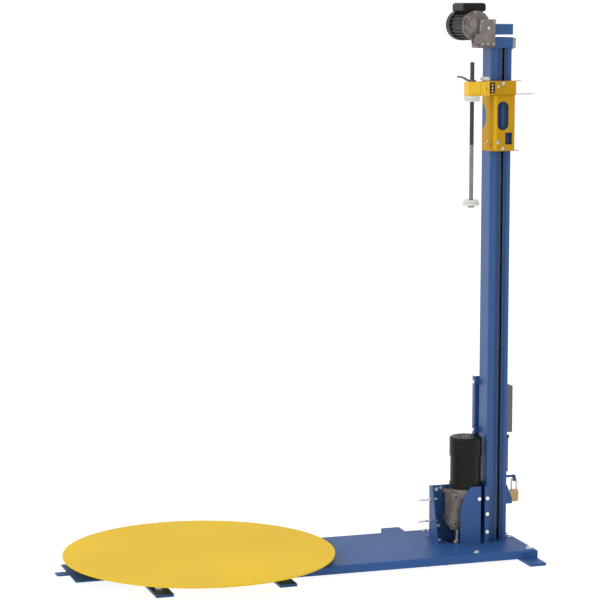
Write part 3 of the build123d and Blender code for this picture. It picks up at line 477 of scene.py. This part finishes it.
def slab(mesh, low, high, round_by=0.0):
    """A box between two corners in millimetres, its edges rounded."""
    size = mm(*(b - a for a, b in zip(low, high)))
    centre = mm(*((a + b) / 2 for a, b in zip(low, high)))
    made = bmesh.ops.create_cube(
        mesh, size=1.0, matrix=Matrix.Translation(centre) @ Matrix.Diagonal((*size, 1)))
    if round_by:
        edges = {e for v in made["verts"] for e in v.link_edges}
        bmesh.ops.bevel(mesh, geom=list(edges), offset=round_by / 1000, segments=3,
                        affect="EDGES", profile=0.5)


def bead(mesh, start, end, radius):
    """A weld bead: overlapping flattened drops along a line, in millimetres."""
    start, end = Vector(start), Vector(end)
    count = max(2, int((end - start).length / (radius * 0.8)))
    for k in range(count + 1):
        place = start.lerp(end, k / count)
        size = radius * (0.92 + 0.16 * luck.random())
        bmesh.ops.create_icosphere(
            mesh, subdivisions=1, radius=size / 1000, matrix=Matrix.Translation(mm(*place)))


def finish_piece(name, mesh, body, finish, smooth=False):
    """Makes the mesh a piece of its own that moves with a body."""
    thing = new_object(name, mesh)
    thing.data.materials.append(finish)
    if smooth:
        for face in thing.data.polygons:
            face.use_smooth = True
    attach(thing, body)
    return thing


def on_circle(centre, radius, degrees):
    """A point in the plane of a circle, as the two offsets from its centre."""
    angle = math.radians(degrees)
    return centre[0] + radius * math.cos(angle), centre[1] + radius * math.sin(angle)


def washers():
    mesh = bmesh.new()
    for bolts, z in ((BASE_BOLTS, BASE_WASHER_Z), (FOOT_BOLTS, FOOT_WASHER_Z)):
        for x, y in bolts:
            ring(mesh, (x, y, z), "z", *WASHER)
    finish_piece("base_washers", mesh, "base", finishes["zinc_steel"])


def weld_beads():
    mesh = bmesh.new()
    for start, end in FRAME_WELDS:
        bead(mesh, start, end, FRAME_WELD)
    finish_piece("weld_beads", mesh, "base", finishes["frame_blue"], smooth=True)


def carriage_fittings():
    """Screws, a dark sheet of painted shade in the clamp pocket, a pressed rib in a lighter
    yellow that paints a highlight, dark stop edges and band seam of the carriage.
    """
    heads = bmesh.new()
    for x, face, z in CARRIAGE_SCREWS:
        disc(heads, (x, face - 1, z), "y", 8.2, 2)
        disc(heads, (x, face - 4, z), "y", 5.6, 5, segments=HEX, turn=0.3)
    for place in POCKET_SCREWS:
        disc(heads, place, "y", 4.6, 5, segments=HEX)
    for place in SIDE_SCREWS:
        disc(heads, place, "x", 6.5, 3)
    finish_piece("carriage_screws", heads, "carriage", finishes["machined_steel"])
    # painted shade: a dark sheet at the back of the clamp pocket
    pocket = bmesh.new()
    slab(pocket, *CLAMP_POCKET_SHADE)
    finish_piece("clamp_pocket_shade", pocket, "carriage", finishes["pocket_shade"])
    # the rib's lighter yellow paints a highlight
    rib = bmesh.new()
    slab(rib, *SLEEVE_RIB, 0.8)
    finish_piece("carriage_rib", rib, "carriage", finishes["rib_highlight_yellow"])
    stops = bmesh.new()
    for reach, z in STOPS:
        slab(stops, (1476.5, -60.6, z + 0.3), (reach, -59.8, z + 2.7))
    finish_piece("stop_edges", stops, "carriage", finishes["lever_steel"])
    seams = bmesh.new()
    bead(seams, *BAND_SEAM, SEAM_WELD)
    finish_piece("carriage_seams", seams, "carriage", finishes["carriage_yellow"], smooth=True)


def lift_drive_fittings():
    """Flange screws, cover screws and oil plug of the upper gear unit."""
    screws = bmesh.new()
    flange_x, face, flange_z = LIFT_FLANGE
    for turn in LIFT_FLANGE_TURNS:
        x, z = on_circle((flange_x, flange_z), LIFT_FLANGE_BOLT_CIRCLE, turn)
        disc(screws, (x, face, z), "y", 5.2, 4.5, segments=HEX)
    for place in LIFT_COVER_SCREWS:
        disc(screws, place, "y", 4.2, 4, segments=HEX)
    disc(screws, LIFT_OIL_PLUG, "y", 8, 4, segments=HEX, turn=0.4)
    finish_piece("lift_drive_screws", screws, "base", finishes["machined_steel"])


def turntable_drive_fittings():
    """Cap screws round the motor flange and the side cover of the lower gear unit."""
    screws = bmesh.new()
    flange_x, flange_y, z = DRIVE_FLANGE
    for number in range(DRIVE_FLANGE_SCREWS):
        turn = DRIVE_FLANGE_LEAD + number * 360 / DRIVE_FLANGE_SCREWS
        x, y = on_circle((flange_x, flange_y), DRIVE_FLANGE_BOLT_CIRCLE, turn)
        disc(screws, (x, y, z), "z", 5, 9, segments=HEX)
    finish_piece("drive_flange_screws", screws, "base", finishes["machined_steel"])
    cover = bmesh.new()
    disc(cover, DRIVE_SIDE_COVER, "y", 30, 4, segments=48, taper=0.94)
    finish_piece("drive_side_cover", cover, "base", finishes["drive_casting"], smooth=True)


def control_fittings():
    """Cable glands, screws of the panel and its straps, and a blank plate on the door."""
    glands = bmesh.new()
    for place, length in GLANDS:
        disc(glands, place, "z", 11, length, segments=HEX)
    finish_piece("cable_glands", glands, "base", finishes["button_black"])
    screws = bmesh.new()
    for place in PANEL_SCREWS:
        disc(screws, place, "y", 5, 2.8)
    for z in STRAP_BOLT_LEVELS:
        disc(screws, (1350, 60, z), "x", 5, 20)
        disc(screws, (1343.4, 60, z), "x", 9, 5, segments=HEX)
    finish_piece("panel_screws", screws, "base", finishes["zinc_steel"])
    plate = bmesh.new()
    slab(plate, *DOOR_PLATE, 0.3)
    finish_piece("door_blank_plate", plate, "control_door", finishes["plate_grey"])


camera()
studio()
luck = random.Random(7)
finishes = dress_cad_nodes()
finishes.update({name: build(name) for name, build in EXTRA_FINISHES.items()})
washers()
weld_beads()
carriage_fittings()
lift_drive_fittings()
turntable_drive_fittings()
control_fittings()
